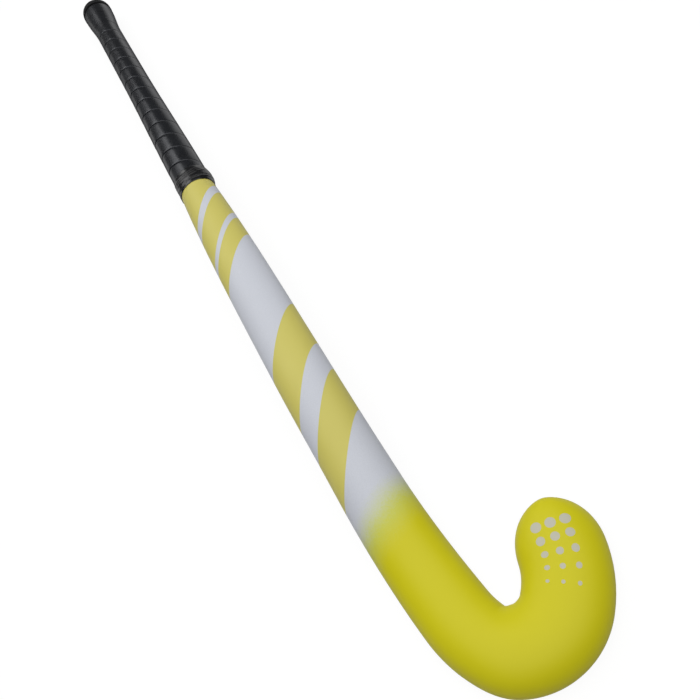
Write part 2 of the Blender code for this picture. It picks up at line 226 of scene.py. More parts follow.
# The crook's inner edge is drawn in a little, so that it runs round in one curve: (share of the
# bend, how far in).
CROOK_HOLLOW = (
    (0.25, 0.0),
    (0.47, 0.0014),
    (0.75, 0.0004),
    (1.0, 0.0),
)


def unit(share):
    """The share, kept between 0 and 1."""
    return min(max(share, 0.0), 1.0)


def eased(share):
    """A share from 0 to 1 that starts and ends softly."""
    return share * share * (3 - 2 * share)


def smooth_curve(at, values):
    """A curve through the values that never overshoots them, as a function of the distance."""
    at = np.asarray(at, float)
    values = np.asarray(values, float)
    run = np.diff(at)
    rise = np.diff(values) / run
    slope = np.zeros(len(at))
    slope[0], slope[-1] = rise[0], rise[-1]
    for i in range(1, len(at) - 1):
        if rise[i - 1] * rise[i] > 0:
            before, after = 2 * run[i] + run[i - 1], run[i] + 2 * run[i - 1]
            slope[i] = (before + after) / (before / rise[i - 1] + after / rise[i])

    def value(s):
        i = int(np.clip(np.searchsorted(at, s) - 1, 0, len(run) - 1))
        t = unit((s - at[i]) / run[i])
        start = values[i] * (1 + 2 * t) * (1 - t) ** 2 + slope[i] * run[i] * t * (1 - t) ** 2
        return start + values[i + 1] * t * t * (3 - 2 * t) - slope[i + 1] * run[i] * t * t * (1 - t)

    return value


BEND = (BEND_TURN, CROOK_RADIUS + BEND_WIDTH / 2)
HOOK_ARCS = ((NECK_TURN, NECK_RADIUS), (EASE_TURN, EASE_RADIUS), BEND, (TOE_TURN, TOE_RADIUS))
BEND_START, _, BEND_END, TOE_START = np.cumsum([turn * radius for turn, radius in HOOK_ARCS])
BEND_SWELLS = BEND_START + BEND_HOLD * (BEND_END - BEND_START)
HOOK_WIDTH = smooth_curve(
    (0.0, BEND_START, BEND_SWELLS, (BEND_START + BEND_END) / 2, BEND_END, TOE_START),
    (NECK_WIDTH, BEND_START_WIDTH, BEND_START_WIDTH, BEND_WIDTH, TOE_WIDTH, TOE_WIDTH),
)
crook_hollow = smooth_curve(
    [BEND_START + share * (BEND_END - BEND_START) for share, _ in CROOK_HOLLOW],
    [drawn_in for _, drawn_in in CROOK_HOLLOW],
)


def hook_point(s):
    """(x, y, heading) on the centre line, s past the place where the straight shaft ends."""
    x = y = heading = 0.0
    for turn, radius in HOOK_ARCS:
        part = min(max(s / radius, 0.0), turn)
        x += radius * (math.sin(heading + part) - math.sin(heading))
        y += radius * (math.cos(heading) - math.cos(heading + part))
        heading += part
        s -= turn * radius
    ahead = max(s, 0.0)
    return x + ahead * math.cos(heading), y + ahead * math.sin(heading), heading


def outer_edge(s):
    """How far the hook's outer edge goes past the straight shaft's end."""
    x, _, heading = hook_point(s)
    return x + HOOK_WIDTH(s) / 2 * math.sin(heading)


FARTHEST = max(outer_edge(s) for s in np.linspace(0.0, TOE_START, REACH_TRIES))
STRAIGHT = LENGTH - CAP_FLOOR - FARTHEST
BUTT_X = HEEL - LENGTH + CAP_FLOOR
HANDLE_END = GRIP_LENGTH - TAPE_ON_SHAFT - SHOULDER_LENGTH
SWELL_END = GRIP_LENGTH - TAPE_WIDTH - SWELL_TO_TAPE
SHAFT_START = HANDLE_END + SHOULDER_LENGTH
MIDDLE = SHAFT_START + MIDDLE_SHARE * (STRAIGHT - SHAFT_START)
LOW = SHAFT_START + LOW_SHARE * (STRAIGHT - SHAFT_START)

# The section along the shaft: (s, width, depth, edge radius).
STATIONS = (
    (0.0, HANDLE_WIDTH, HANDLE_DEPTH, HANDLE_EDGE),
    (HANDLE_TAPER, HANDLE_WIDTH, HANDLE_DEPTH, HANDLE_EDGE),
    (SWELL_END, SWELL_WIDTH, HANDLE_DEPTH, HANDLE_EDGE),
    (HANDLE_END, TOP_WIDTH - 2 * STEP_IN, HANDLE_DEPTH, HANDLE_EDGE),
    (SHAFT_START, TOP_WIDTH, TOP_DEPTH, TOP_EDGE),
    (MIDDLE, MIDDLE_WIDTH, MIDDLE_DEPTH, MIDDLE_EDGE),
    (LOW, LOW_WIDTH, LOW_DEPTH, LOW_EDGE),
    (STRAIGHT, NECK_WIDTH, HEAD_DEPTH, HEAD_EDGE),
    (STRAIGHT + BEND_START, BEND_START_WIDTH, HEAD_DEPTH, HEAD_EDGE),
)
stations, *sizes = zip(*STATIONS)
WIDTH, DEPTH, EDGE = [smooth_curve(stations, size) for size in sizes]


def section(s):
    """(width, depth, edge radius) of the laminate's outside at s."""
    if s > STRAIGHT:
        return HOOK_WIDTH(s - STRAIGHT), HEAD_DEPTH, HEAD_EDGE
    return WIDTH(s), DEPTH(s), EDGE(s)


def outline(size, inset=0.0):
    """Points (u, v) of a section: a rounded back, two rounded edges and a flat face."""
    width, depth, edge = size
    half, edge = width / 2 - inset, max(edge - inset, SHARPEST)
    middle = edge + inset
    back = np.linspace(0.0, math.pi, BACK_SIDES, endpoint=False)
    corner = np.linspace(0.0, math.pi / 2, EDGE_SIDES, endpoint=False)
    face = (half - edge) * np.linspace(-1.0, 1.0, FACE_SIDES, endpoint=False)
    far, near = -half + edge - edge * np.cos(corner), half - edge + edge * np.sin(corner)
    u = np.concatenate((half * np.cos(back), far, face, near))
    low, high = middle - edge * np.sin(corner), middle - edge * np.cos(corner)
    crown = middle + (depth - inset - middle) * np.sin(back)
    return np.stack((u, np.concatenate((crown, low, np.full(FACE_SIDES, middle - edge), high))), axis=1)


def butt_radius():
    """The laminate's farthest reach from the cap's axis at its butt end."""
    return max(math.hypot(u, v - HANDLE_DEPTH / 2) for u, v in outline(section(0.0)))


GRIP_THICKNESS = FIT + UNDERLAY + FIT + STRIP + STRIP_LAP
RIM_RADIUS = butt_radius() + GRIP_THICKNESS + FLARE
PEAK = HEEL - BOW_FROM_HEEL
BUTT_SLOPE = 1.5
TILT = math.atan(BUTT_SLOPE * (BOW - (RIM_RADIUS - HANDLE_DEPTH / 2)) / (PEAK - BUTT_X))
BUTT_LIFT = (RIM_RADIUS - HANDLE_DEPTH / 2) * math.cos(TILT)


def lift(x):
    """Height of the flat side above the floor: nothing under the head and most at the bow."""
    flat = HEEL - FACE_LENGTH
    if x >= flat:
        return 0.0
    if x >= PEAK:
        return BOW * eased((flat - x) / (flat - PEAK))
    t = (PEAK - x) / (PEAK - BUTT_X)
    return BOW - (BOW - BUTT_LIFT) * t * t * (3 - t) / 2


def place_on(s, points):
    """Where points (u, v) of a section at s are in space."""
    if s < STRAIGHT:
        x, y, heading = BUTT_X + s, 0.0, 0.0
    else:
        x, y, heading = hook_point(s - STRAIGHT)
        x += BUTT_X + STRAIGHT
    slope = (lift(x + SLOPE_STEP) - lift(x - SLOPE_STEP)) / (2 * SLOPE_STEP) * math.cos(heading)
    ahead = np.array((math.cos(heading), math.sin(heading), slope))
    ahead /= np.linalg.norm(ahead)
    across = np.array((-math.sin(heading), math.cos(heading), 0.0))
    return np.array((x, y, lift(x))) + points[:, :1] * across + points[:, 1:] * np.cross(ahead, across)


def skin(name, rings, joined=False, marks=None):
    """A mesh through rings of points, with its ends closed or joined. Marks become its UV map."""
    rings = np.asarray(rings)
    count, around = rings.shape[:2]
    here = np.arange(count if joined else count - 1)[:, None] * around
    there = (here + around) % (count * around)
    side = np.arange(around)
    beside = (side + 1) % around
    quads = np.stack((here + side, here + beside, there + beside, there + side), axis=2).reshape(-1, 4)
    faces = quads.tolist()
    if not joined:
        faces.append(list(range(around))[::-1])
        faces.append(list(range((count - 1) * around, count * around)))
    mesh = bpy.data.meshes.new(name)
    mesh.from_pydata(rings.reshape(-1, 3).tolist(), [], faces)
    if marks is not None:
        corners = np.empty(len(mesh.loops), np.int32)
        mesh.loops.foreach_get("vertex_index", corners)
        layer = mesh.uv_layers.new(name="surface_map")
        layer.data.foreach_set("uv", np.asarray(marks, np.float32).reshape(-1, 2)[corners].ravel())
    mesh.shade_smooth()
    mesh.set_sharp_from_angle(angle=SHARP_ANGLE)
    piece = bpy.data.objects.new(name, mesh)
    bpy.context.scene.collection.objects.link(piece)
    return piece


def spaced(start, end, steps):
    """Places at even steps after the start, up to the end."""
    return [start + (end - start) * (i + 1) / steps for i in range(steps)]


def hollowed(s, points):
    """The outside's points at s, with the crook's inner edge drawn in."""
    reach = points[:, 0].max()
    share = np.clip(points[:, 0] / (reach - HEAD_EDGE), 0.0, 1.0)
    moved = points.copy()
    moved[:, 0] -= crook_hollow(s - STRAIGHT) * eased(share)
    return moved


def laminate_wall(inset):
    """Rings of one side of the wall from the butt to the toe, and where each point is as (s, u)."""
    places = [0.0] + spaced(0.0, HANDLE_END, HANDLE_RINGS)
    places += spaced(HANDLE_END, SHAFT_START, SHOULDER_RINGS)
    places += spaced(SHAFT_START, STRAIGHT, SHAFT_RINGS)
    places += spaced(STRAIGHT, STRAIGHT + BEND_START, NECK_RINGS)
    places += spaced(STRAIGHT + BEND_START, STRAIGHT + BEND_END, BEND_RINGS)
    places += spaced(STRAIGHT + BEND_END, STRAIGHT + TOE_START, TOE_RINGS)
    rings, marks = [], []
    for s in places:
        points = outline(section(s), inset)
        rings.append(place_on(s, points if inset else hollowed(s, points)))
        marks.append(np.stack((np.full(SIDES, s), points[:, 0]), axis=1))
    end, size = places[-1], section(places[-1])
    for share in spaced(0.0, 1.0, TOE_END_RINGS):
        a = TOE_LAST * math.sin(math.pi / 2 * share)
        s = end + (TOE_ROUND - inset) * math.sin(a)
        points = outline(size, inset)
        points[:, 0] *= math.cos(a)
        points[:, 1] = size[2] + (points[:, 1] - size[2]) * math.sqrt(math.cos(a))
        rings.append(place_on(s, points))
        marks.append(np.stack((np.full(SIDES, s), points[:, 0]), axis=1))
    return rings, marks


outside, outside_marks = laminate_wall(0.0)
inside, inside_marks = laminate_wall(WALL)
laminate = skin("laminate_shell", inside[::-1] + outside, marks=inside_marks[::-1] + outside_marks)

# The paints and inks. A slant is how far a band's edge moves along for each metre across.
SILVER = "#c3c6ce"
PRINT_YELLOW = "#c6bd62"
NEON = "#c9c10f"
FADE_LIME = "#bfc560"
TOE_GREY = "#bab8a6"
PRINT_SLANT = 1.35
PRINT_EDGE = 0.0004

# Bands printed round the shaft at a slant, one over the other: (start, end, ink).
PRINTS = (
    (0.400, 0.546, PRINT_YELLOW),
    (0.465, 0.477, SILVER),
    (0.512, 0.520, SILVER),
    (0.638, 0.683, PRINT_YELLOW),
    (0.709, 0.746, PRINT_YELLOW),
)

# Where the head's paint begins, and how uneven its edge is: a fine mist and a slow drift.
FADE_SLANT = 0.41
FADE_MIDDLE = 0.796
FADE_LENGTH = 0.030
FADE_MIST = 0.0012
FADE_MIST_REACH = 0.008
FADE_DRIFT = 0.030
FADE_DRIFT_REACH = 0.010

# The head's paint fades in over the silver: (start, end, paint), in lengths of the fade from its
# middle.
FADES = (
    (-0.75, 0.1, FADE_LIME),
    (-0.35, 0.6, NEON),
)

# The toe's dots. Their radii are shares of the spacing.
DOT_START = 0.9445
DOT_SPACING = 0.0085
DOT_ROWS = 5
DOT_COLUMNS = 3
DOT_SMALLEST = 0.13
DOT_GROWTH = 0.06
DOT_HEIGHT = 0.009
DOT_FIELD_EDGE = 0.001

# The grain of the pearl and of the lacquer's surface.
FLAKE = 0.0007
ORANGE_PEEL = 0.0028

# Sprayed and printed under satin lacquer: pearl silver with a fine flake, flat printed yellow, and
# a neon yellow head that is airbrushed over the silver. Faint orange peel softens its highlights.
lacquer, tree, shader = new_material("satin_lacquer", 0.46, Specular_IOR_Level=0.25)
place = add(tree, "ShaderNodeTexCoord").outputs["Object"]
surface = add(tree, "ShaderNodeUVMap", uv_map="surface_map")
along, across, _ = add(tree, "ShaderNodeSeparateXYZ", {"Vector": surface}).outputs
slanted = add(tree, "ShaderNodeMath", {0: across, 1: PRINT_SLANT, 2: along}, operation="MULTIPLY_ADD")


def within(tree, distance, start, end, edge):
    """A mask that is 1 where the distance is between start and end, with an edge of that width."""
    middle, half = (start + end) / 2, (end - start) / 2
    off = add(tree, "ShaderNodeMath", {0: distance, 1: middle}, operation="SUBTRACT")
    off = add(tree, "ShaderNodeMath", {0: off}, operation="ABSOLUTE")
    return add(tree, "ShaderNodeMapRange", {"Value": off, "From Min": half + edge / 2,
               "From Max": half - edge / 2})


flake = add(tree, "ShaderNodeTexNoise", {"Vector": place, "Scale": 1 / FLAKE, "Detail": 1.0})
flake = add(tree, "ShaderNodeMapRange", {"Value": flake, "To Min": 0.93, "To Max": 1.07})
colour = add(tree, "ShaderNodeMix", {"Factor": 1.0, "A": linear(SILVER), "B": flake},
             data_type="RGBA", blend_type="MULTIPLY")
for start, end, ink in PRINTS:
    mask = within(tree, slanted, start, end, PRINT_EDGE)
    colour = add(tree, "ShaderNodeMix", {"Factor": mask, "A": colour, "B": linear(ink)}, data_type="RGBA")

mist = add(tree, "ShaderNodeTexNoise", {"Vector": place, "Scale": 1 / FADE_MIST, "Detail": 2.0})
drift = add(tree, "ShaderNodeTexNoise", {"Vector": place, "Scale": 1 / FADE_DRIFT, "Detail": 1.0})
faded = add(tree, "ShaderNodeMath", {0: across, 1: FADE_SLANT, 2: along}, operation="MULTIPLY_ADD")
for cloud, reach in ((mist, FADE_MIST_REACH), (drift, FADE_DRIFT_REACH)):
    shift = add(tree, "ShaderNodeMath", {0: cloud, 1: 0.5}, operation="SUBTRACT")
    faded = add(tree, "ShaderNodeMath", {0: shift, 1: reach, 2: faded}, operation="MULTIPLY_ADD")
for start, end, paint in FADES:
    mask = add(tree, "ShaderNodeMapRange", {"Value": faded, "From Min": FADE_MIDDLE + start * FADE_LENGTH,
               "From Max": FADE_MIDDLE + end * FADE_LENGTH}, interpolation_type="SMOOTHSTEP")
    colour = add(tree, "ShaderNodeMix", {"Factor": mask, "A": colour, "B": linear(paint)}, data_type="RGBA")

# A plain field of dots on the back of the toe, which grow from row to row.
first_dot = (DOT_START, -DOT_COLUMNS / 2 * DOT_SPACING, 0.0)
grid = add(tree, "ShaderNodeVectorMath", {0: surface, 1: first_dot}, operation="SUBTRACT")
grid = add(tree, "ShaderNodeVectorMath", {0: grid, "Scale": 1 / DOT_SPACING}, operation="SCALE")
row, column, _ = add(tree, "ShaderNodeSeparateXYZ", {"Vector": grid}).outputs
cell = add(tree, "ShaderNodeVectorMath", {0: grid}, operation="FRACTION")
away = add(tree, "ShaderNodeVectorMath", {0: cell, 1: (0.5, 0.5, 0.0)}, operation="DISTANCE")
whole = add(tree, "ShaderNodeMath", {0: row}, operation="FLOOR")
size = add(tree, "ShaderNodeMath", {0: whole, 1: DOT_GROWTH, 2: DOT_SMALLEST}, operation="MULTIPLY_ADD")
mask = add(tree, "ShaderNodeMath", {0: away.outputs["Value"], 1: size}, operation="LESS_THAN")
height = add(tree, "ShaderNodeSeparateXYZ", {"Vector": place}).outputs["Z"]
limits = ((row, 0.0, DOT_ROWS), (column, 0.0, DOT_COLUMNS), (height, DOT_HEIGHT, 2 * HEAD_DEPTH))
for value, start, end in limits:
    in_field = within(tree, value, start, end, DOT_FIELD_EDGE)
    mask = add(tree, "ShaderNodeMath", {0: mask, 1: in_field}, operation="MULTIPLY")
colour = add(tree, "ShaderNodeMix", {"Factor": mask, "A": colour, "B": linear(TOE_GREY)}, data_type="RGBA")

peel = add(tree, "ShaderNodeTexNoise", {"Vector": place, "Scale": 1 / ORANGE_PEEL, "Detail": 1.5})
relief = add(tree, "ShaderNodeBump", {"Height": peel, "Strength": 0.12, "Distance": 0.0003})
sheen = add(tree, "ShaderNodeMapRange", {"Value": drift, "To Min": 0.42, "To Max": 0.52})
feed(tree, shader, Base_Color=colour, Roughness=sheen, Normal=relief)
dress(laminate, lacquer)
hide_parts("outer_shell")
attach(laminate, "root")

# The butt cap
# A moulded rubber cap closes the flared butt: a rounded rim over the laminate's end, with a stem
# glued in the plug. The mould leaves a shallow dish and a fine ring in its end.
CAP_LENGTH = 0.010
CAP_BEVEL = 0.0012
CAP_BEVEL_STEPS = 6
CAP_SIDES = 96
STEM_RADIUS = 0.0040
STEM_LENGTH = 0.018
STEM_BEVEL = 0.0010
RIM_ROUND = 0.0065
RIM_STEPS = 14
DISH_DEPTH = 0.0006
DISH_RADIUS = 0.0085
DISH_CUT = ((0.5, 1.0), (0.85, 0.7), (1.0, 0.12))
RING_WIDTH = 0.0006
RING_DEPTH = 0.0004
RING_CUT = ((2.0, 0.0), (1.5, 1.0), (1.0, 1.0), (0.5, 0.0))
POLE = 0.0002


def quarter_turn(steps):
    """Angles from 0 to 90 degrees."""
    return [math.pi / 2 * share for share in [0.0] + spaced(0.0, 1.0, steps)]


# The cap's cut from the middle of its end, out over the rim, and back in to the stem: (distance
# from its axis, distance from the laminate's end).
flat = RIM_RADIUS - RIM_ROUND
skirt = butt_radius() + FIT
turned = [(POLE, DISH_DEPTH - CAP_FLOOR)]
turned += [(DISH_RADIUS * out, DISH_DEPTH * deep - CAP_FLOOR) for out, deep in DISH_CUT]
turned.append((DISH_RADIUS + RING_WIDTH, -CAP_FLOOR))
turned += [(flat - RING_WIDTH * back, RING_DEPTH * deep - CAP_FLOOR) for back, deep in RING_CUT]
for a in quarter_turn(RIM_STEPS):
    turned.append((flat + RIM_ROUND * math.sin(a), RIM_ROUND * (1 - math.cos(a)) - CAP_FLOOR))
for a in quarter_turn(CAP_BEVEL_STEPS):
    beside, short = CAP_BEVEL * (1 - math.cos(a)), CAP_BEVEL * (1 - math.sin(a))
    turned.append((RIM_RADIUS - beside, CAP_LENGTH - short))
turned += [(skirt, CAP_LENGTH), (skirt, -FIT)]
turned += [(STEM_RADIUS, -FIT), (STEM_RADIUS, STEM_LENGTH - STEM_BEVEL)]
turned += [(STEM_RADIUS - STEM_BEVEL, STEM_LENGTH), (POLE, STEM_LENGTH)]
around = np.linspace(0.0, 2 * math.pi, CAP_SIDES, endpoint=False)
ring = np.stack((np.cos(around), np.sin(around)), axis=1)
ahead_of_butt = np.array((math.cos(TILT), 0.0, math.sin(TILT)))
rings = [
    place_on(0.0, ring * radius + (0.0, HANDLE_DEPTH / 2)) + ahead_of_butt * along_axis
    for radius, along_axis in turned
]
cap = skin("butt_cap_moulded", rings)

# Moulded rubber: near black and matt, with a soft grain from the mould and a faint bloom.
RUBBER_DARK = "#0f0f11"
RUBBER_PALE = "#161618"
RUBBER_GRAIN = 0.0006
RUBBER_BLOOM = 0.00833
rubber, tree, shader = new_material("moulded_rubber", 0.70, RUBBER_DARK, Specular_IOR_Level=0.20)
place = add(tree, "ShaderNodeTexCoord").outputs["Object"]
grain = add(tree, "ShaderNodeTexNoise", {"Vector": place, "Scale": 1 / RUBBER_GRAIN, "Detail": 3.0})
bloom = add(tree, "ShaderNodeTexNoise", {"Vector": place, "Scale": 1 / RUBBER_BLOOM, "Detail": 2.0})
shades = add(tree, "ShaderNodeMix", {"Factor": bloom, "A": linear(RUBBER_DARK),
             "B": linear(RUBBER_PALE)}, data_type="RGBA")
matt = add(tree, "ShaderNodeMapRange", {"Value": grain, "To Min": 0.62, "To Max": 0.78})
relief = add(tree, "ShaderNodeBump", {"Height": grain, "Strength": 0.25, "Distance": 0.0002})
feed(tree, shader, Base_Color=shades, Roughness=matt, Normal=relief)
dress(cap, rubber)
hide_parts("butt_cap")
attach(cap, "root")

# The cushion sleeve
# A thin sleeve of foam rubber lies round the handle under the strip, and thickens towards the cap
# to make the flare. It is stuck to the bare laminate.
FLARE_LENGTH = 0.072
SLEEVE_RINGS = 120


def flare(s):
    """How much thicker the sleeve is at s, to reach the cap's rim."""
    return FLARE * eased(unit(1 - (s - CAP_LENGTH) / (FLARE_LENGTH - CAP_LENGTH)))


def round_handle(s, outset):
    """A ring of points that far outside the laminate."""
    return place_on(s, outline(section(s), -outset))


grip_start, grip_end = CAP_LENGTH + FIT, HANDLE_END - FIT
places = [grip_start] + spaced(grip_start, grip_end, SLEEVE_RINGS)
rings = [round_handle(s, FIT + UNDERLAY + flare(s)) for s in places]
rings += [round_handle(s, FIT) for s in reversed(places)]
sleeve = skin("grip_cushion_sleeve", rings, joined=True)

# Foam rubber: soft, matt and dark, with cells that just show.
CUSHION_DARK = "#2c2c2e"
CUSHION_PALE = "#47474a"
CUSHION_CELL = 0.0008
cushion, tree, shader = new_material("foam_rubber", 0.9)
place = add(tree, "ShaderNodeTexCoord").outputs["Object"]
cells = add(tree, "ShaderNodeTexVoronoi", {"Vector": place, "Scale": 1 / CUSHION_CELL})
shades = add(tree, "ShaderNodeMix", {"Factor": cells, "A": linear(CUSHION_DARK),
             "B": linear(CUSHION_PALE)}, data_type="RGBA")
relief = add(tree, "ShaderNodeBump", {"Height": cells, "Strength": 0.5, "Distance": 0.0002})
feed(tree, shader, Base_Color=shades, Normal=relief)
dress(sleeve, cushion)
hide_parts("grip_underlay")
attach(sleeve, "root")

# The grip strip
# A soft polyurethane strip, wound over the sleeve in one helix from the cap to the shaft. Each
# turn's thicker edge laps over the thin edge of the next, so every lap faces the head. The laps
# are pressed flat on the toe side and near the butt.
STRIP_PITCH = 0.0257
STRIP_POINT = 0.0020
STRIP_OVERLAP = 0.0022
STRIP_WANDER = 0.0006
STRIP_WANDERINGS = 0.9
STRIP_STEPS = 96
STRIP_SEED = 4.0
END_GAP = 0.0002
LIP_ZONE = 0.0028
LIP_SHARE = 0.6
LINE_STEPS = 80
RAY = 0.030
LIP_TOP = 0.00197
TOP_LEAST = 0.0009
STRIP_WIDTH = STRIP_PITCH + STRIP_OVERLAP

# Where the laps fade: along the handle near the butt, and round it as a share of the way from the
# back or the face to the toe side.
SMOOTH_FROM = 0.092
SMOOTH_TO = 0.056
PRESS = 0.85
PRESS_FROM = 0.15
PRESS_TO = 0.70

# The strip's cut across: (distance from its thin edge, height), round from the thin edge along its
# underside, out under the lap and back over the top.
strip_cut = (
    (0.0, 0.0),
    (0.0127, 0.0),
    (STRIP_WIDTH - LIP_ZONE, 0.0),
    (STRIP_WIDTH - LIP_ZONE + 0.0004, 0.00085),
    (STRIP_WIDTH - 0.0003, 0.00085),
    (STRIP_WIDTH, 0.00105),
    (STRIP_WIDTH - 0.0001, 0.00150),
    (STRIP_WIDTH - 0.0004, 0.00178),
    (STRIP_WIDTH - 0.0010, 0.00192),
    (STRIP_WIDTH - 0.0022, LIP_TOP),
    (0.0200, 0.00193),
    (0.0130, 0.00187),
    (0.0075, 0.00184),
    (0.0045, 0.00181),
    (0.0033, 0.00174),
    (0.0027, 0.00150),
    (0.0025, 0.00110),
    (0.0023, 0.00065),
    (0.0012, 0.00060),
    (0.0, 0.00050),
)


def helper_curve(name, points, closed):
    """A curve of straight pieces for a node tree to read. It is removed once the tree has run."""
    data = bpy.data.curves.new(name, "CURVE")
    data.dimensions = "3D"
    spline = data.splines.new("POLY")
    spline.points.add(len(points) - 1)
    for made, point in zip(spline.points, points):
        made.co = (*point, *[0.0] * (3 - len(point)), 1.0)
    spline.use_cyclic_u = closed
    helper = bpy.data.objects.new(name, data)
    bpy.context.scene.collection.objects.link(helper)
    return helper


SOCKETS = {float: "Float", int: "Int", bpy.types.Object: "Object", bpy.types.Material: "Material"}


def new_tree(name, sizes):
    """An empty Geometry Nodes tree with its named inputs, and the sockets that they feed."""
    tree = bpy.data.node_groups.new(name, "GeometryNodeTree")
    tree.interface.new_socket("Geometry", in_out="OUTPUT", socket_type="NodeSocketGeometry")
    for label, value in sizes.items():
        kind = "NodeSocket" + SOCKETS[type(value)]
        tree.interface.new_socket(label, in_out="INPUT", socket_type=kind)
    return tree, {socket.name: socket for socket in add(tree, "NodeGroupInput").outputs}


def grow(name, tree, result, sizes):
    """Runs the tree with the sizes as its inputs, and keeps the result as a plain mesh."""
    add(tree, "NodeGroupOutput", {0: result})
    host = bpy.data.objects.new(name, bpy.data.meshes.new(name))
    bpy.context.scene.collection.objects.link(host)
    modifier = host.modifiers.new(name, "NODES")
    modifier.node_group = tree
    for item in tree.interface.items_tree:
        if item.in_out == "INPUT":
            modifier[item.identifier] = sizes[item.name]
    bpy.context.view_layer.update()
    graph = bpy.context.evaluated_depsgraph_get()
    mesh = bpy.data.meshes.new_from_object(host.evaluated_get(graph))
    host.modifiers.remove(modifier)
    host.data = mesh
    mesh.name = name
    return host


# Polyurethane grip: near black with a cool satin sheen and a fine pebbled grain. It looks drier
# where it turns away from the eye, so that its rims stay dark.
GRIP_DARK = "#0f1013"
GRIP_PALE = "#15171b"
GRIP_SHEEN = "#f2f5ff"
GRIP_GRAIN = 0.0009
GRIP_CLOUD = 0.0111


def drier_rims(tree, roughness):
    """The roughness, with more added where the surface turns away from the eye."""
    facing = add(tree, "ShaderNodeLayerWeight", {"Blend": 0.5}).outputs["Facing"]
    dry = add(tree, "ShaderNodeMapRange", {"Value": facing, "From Min": 0.70, "From Max": 0.92,
              "To Max": 0.60})
    return add(tree, "ShaderNodeMath", {0: roughness, 1: dry})


grip, tree, shader = new_material("polyurethane_grip", 0.28, GRIP_DARK, IOR=1.42,
                                  Specular_Tint=linear(GRIP_SHEEN))
place = add(tree, "ShaderNodeTexCoord").outputs["Object"]
pebble = add(tree, "ShaderNodeTexVoronoi", {"Vector": place, "Scale": 1 / GRIP_GRAIN})
cloud = add(tree, "ShaderNodeTexNoise", {"Vector": place, "Scale": 1 / GRIP_CLOUD, "Detail": 3.0})
shades = add(tree, "ShaderNodeMix", {"Factor": cloud, "A": linear(GRIP_DARK), "B": linear(GRIP_PALE)},
             data_type="RGBA")
satin = add(tree, "ShaderNodeMapRange", {"Value": cloud, "To Min": 0.24, "To Max": 0.32})
satin = drier_rims(tree, satin)
relief = add(tree, "ShaderNodeBump", {"Height": pebble, "Strength": 0.10, "Distance": 0.0002})
feed(tree, shader, Base_Color=shades, Roughness=satin, Normal=relief)

middle = np.array([(0.0, HANDLE_DEPTH / 2)])
middles = [tuple(place_on(s, middle)[0]) for s in np.linspace(0.0, HANDLE_END, LINE_STEPS)]
handle_line = helper_curve("handle_line", middles, closed=False)
cut = helper_curve("strip_cut", strip_cut, closed=True)
turns = (grip_end - grip_start - STRIP_POINT) / STRIP_PITCH + 1 - STRIP_POINT / STRIP_PITCH

# Both ends of the strip stop just short of the sleeve's ends, so that every ray meets the sleeve.
strip_sizes = {
    "Sleeve": sleeve,
    "Handle line": handle_line,
    "Cut": cut,
    "Material": grip,
    "Turns": turns,
    "Points": int(turns * STRIP_STEPS),
    "Start": grip_start + END_GAP,
    "End": grip_end - END_GAP,
    "Line length": HANDLE_END,
    "Pitch": STRIP_PITCH,
    "Width": STRIP_WIDTH,
    "Lip": LIP_ZONE,
    "First edge": grip_start - STRIP_PITCH + STRIP_POINT,
    "Fit": FIT,
    "Ray": RAY,
    "Wander": STRIP_WANDER,
    "Lip top": LIP_TOP,
    "Top least": TOP_LEAST,
    "Smooth from": SMOOTH_FROM,
    "Smooth to": SMOOTH_TO,
    "Press": PRESS,
    "Press from": PRESS_FROM,
    "Press to": PRESS_TO,
}
tree, given = new_tree("wound_strip", strip_sizes)
sources = {}
for label in ("Sleeve", "Handle line", "Cut"):
    source = add(tree, "GeometryNodeObjectInfo", {"Object": given[label]}, transform_space="RELATIVE")
    sources[label] = source.outputs["Geometry"]

# A straight line counts the turns, and the cut is swept along it, so that every point knows its
# turn, its distance across the strip and its height.
end = add(tree, "ShaderNodeCombineXYZ", {"X": given["Turns"]})
line = add(tree, "GeometryNodeCurvePrimitiveLine", {"End": end})
line = add(tree, "GeometryNodeResampleCurve", {"Curve": line, "Count": given["Points"]})
spot = add(tree, "GeometryNodeInputPosition")
spot_x, spot_y, _ = add(tree, "ShaderNodeSeparateXYZ", {"Vector": spot}).outputs
profile = sources["Cut"]


def note(tree, shape, label, value):
    """The shape, with the value written on its points under that name, and a node that reads it."""
    inputs = {"Geometry": shape, "Name": label, "Value": value}
    noted = add(tree, "GeometryNodeStoreNamedAttribute", inputs)
    return noted, add(tree, "GeometryNodeInputNamedAttribute", {"Name": label})


line, turn = note(tree, line, "turn", spot_x)
profile, across = note(tree, profile, "across", spot_x)
profile, rise = note(tree, profile, "rise", spot_y)
swept = add(tree, "GeometryNodeCurveToMesh", {"Curve": line, "Profile Curve": profile, "Fill Caps": True})

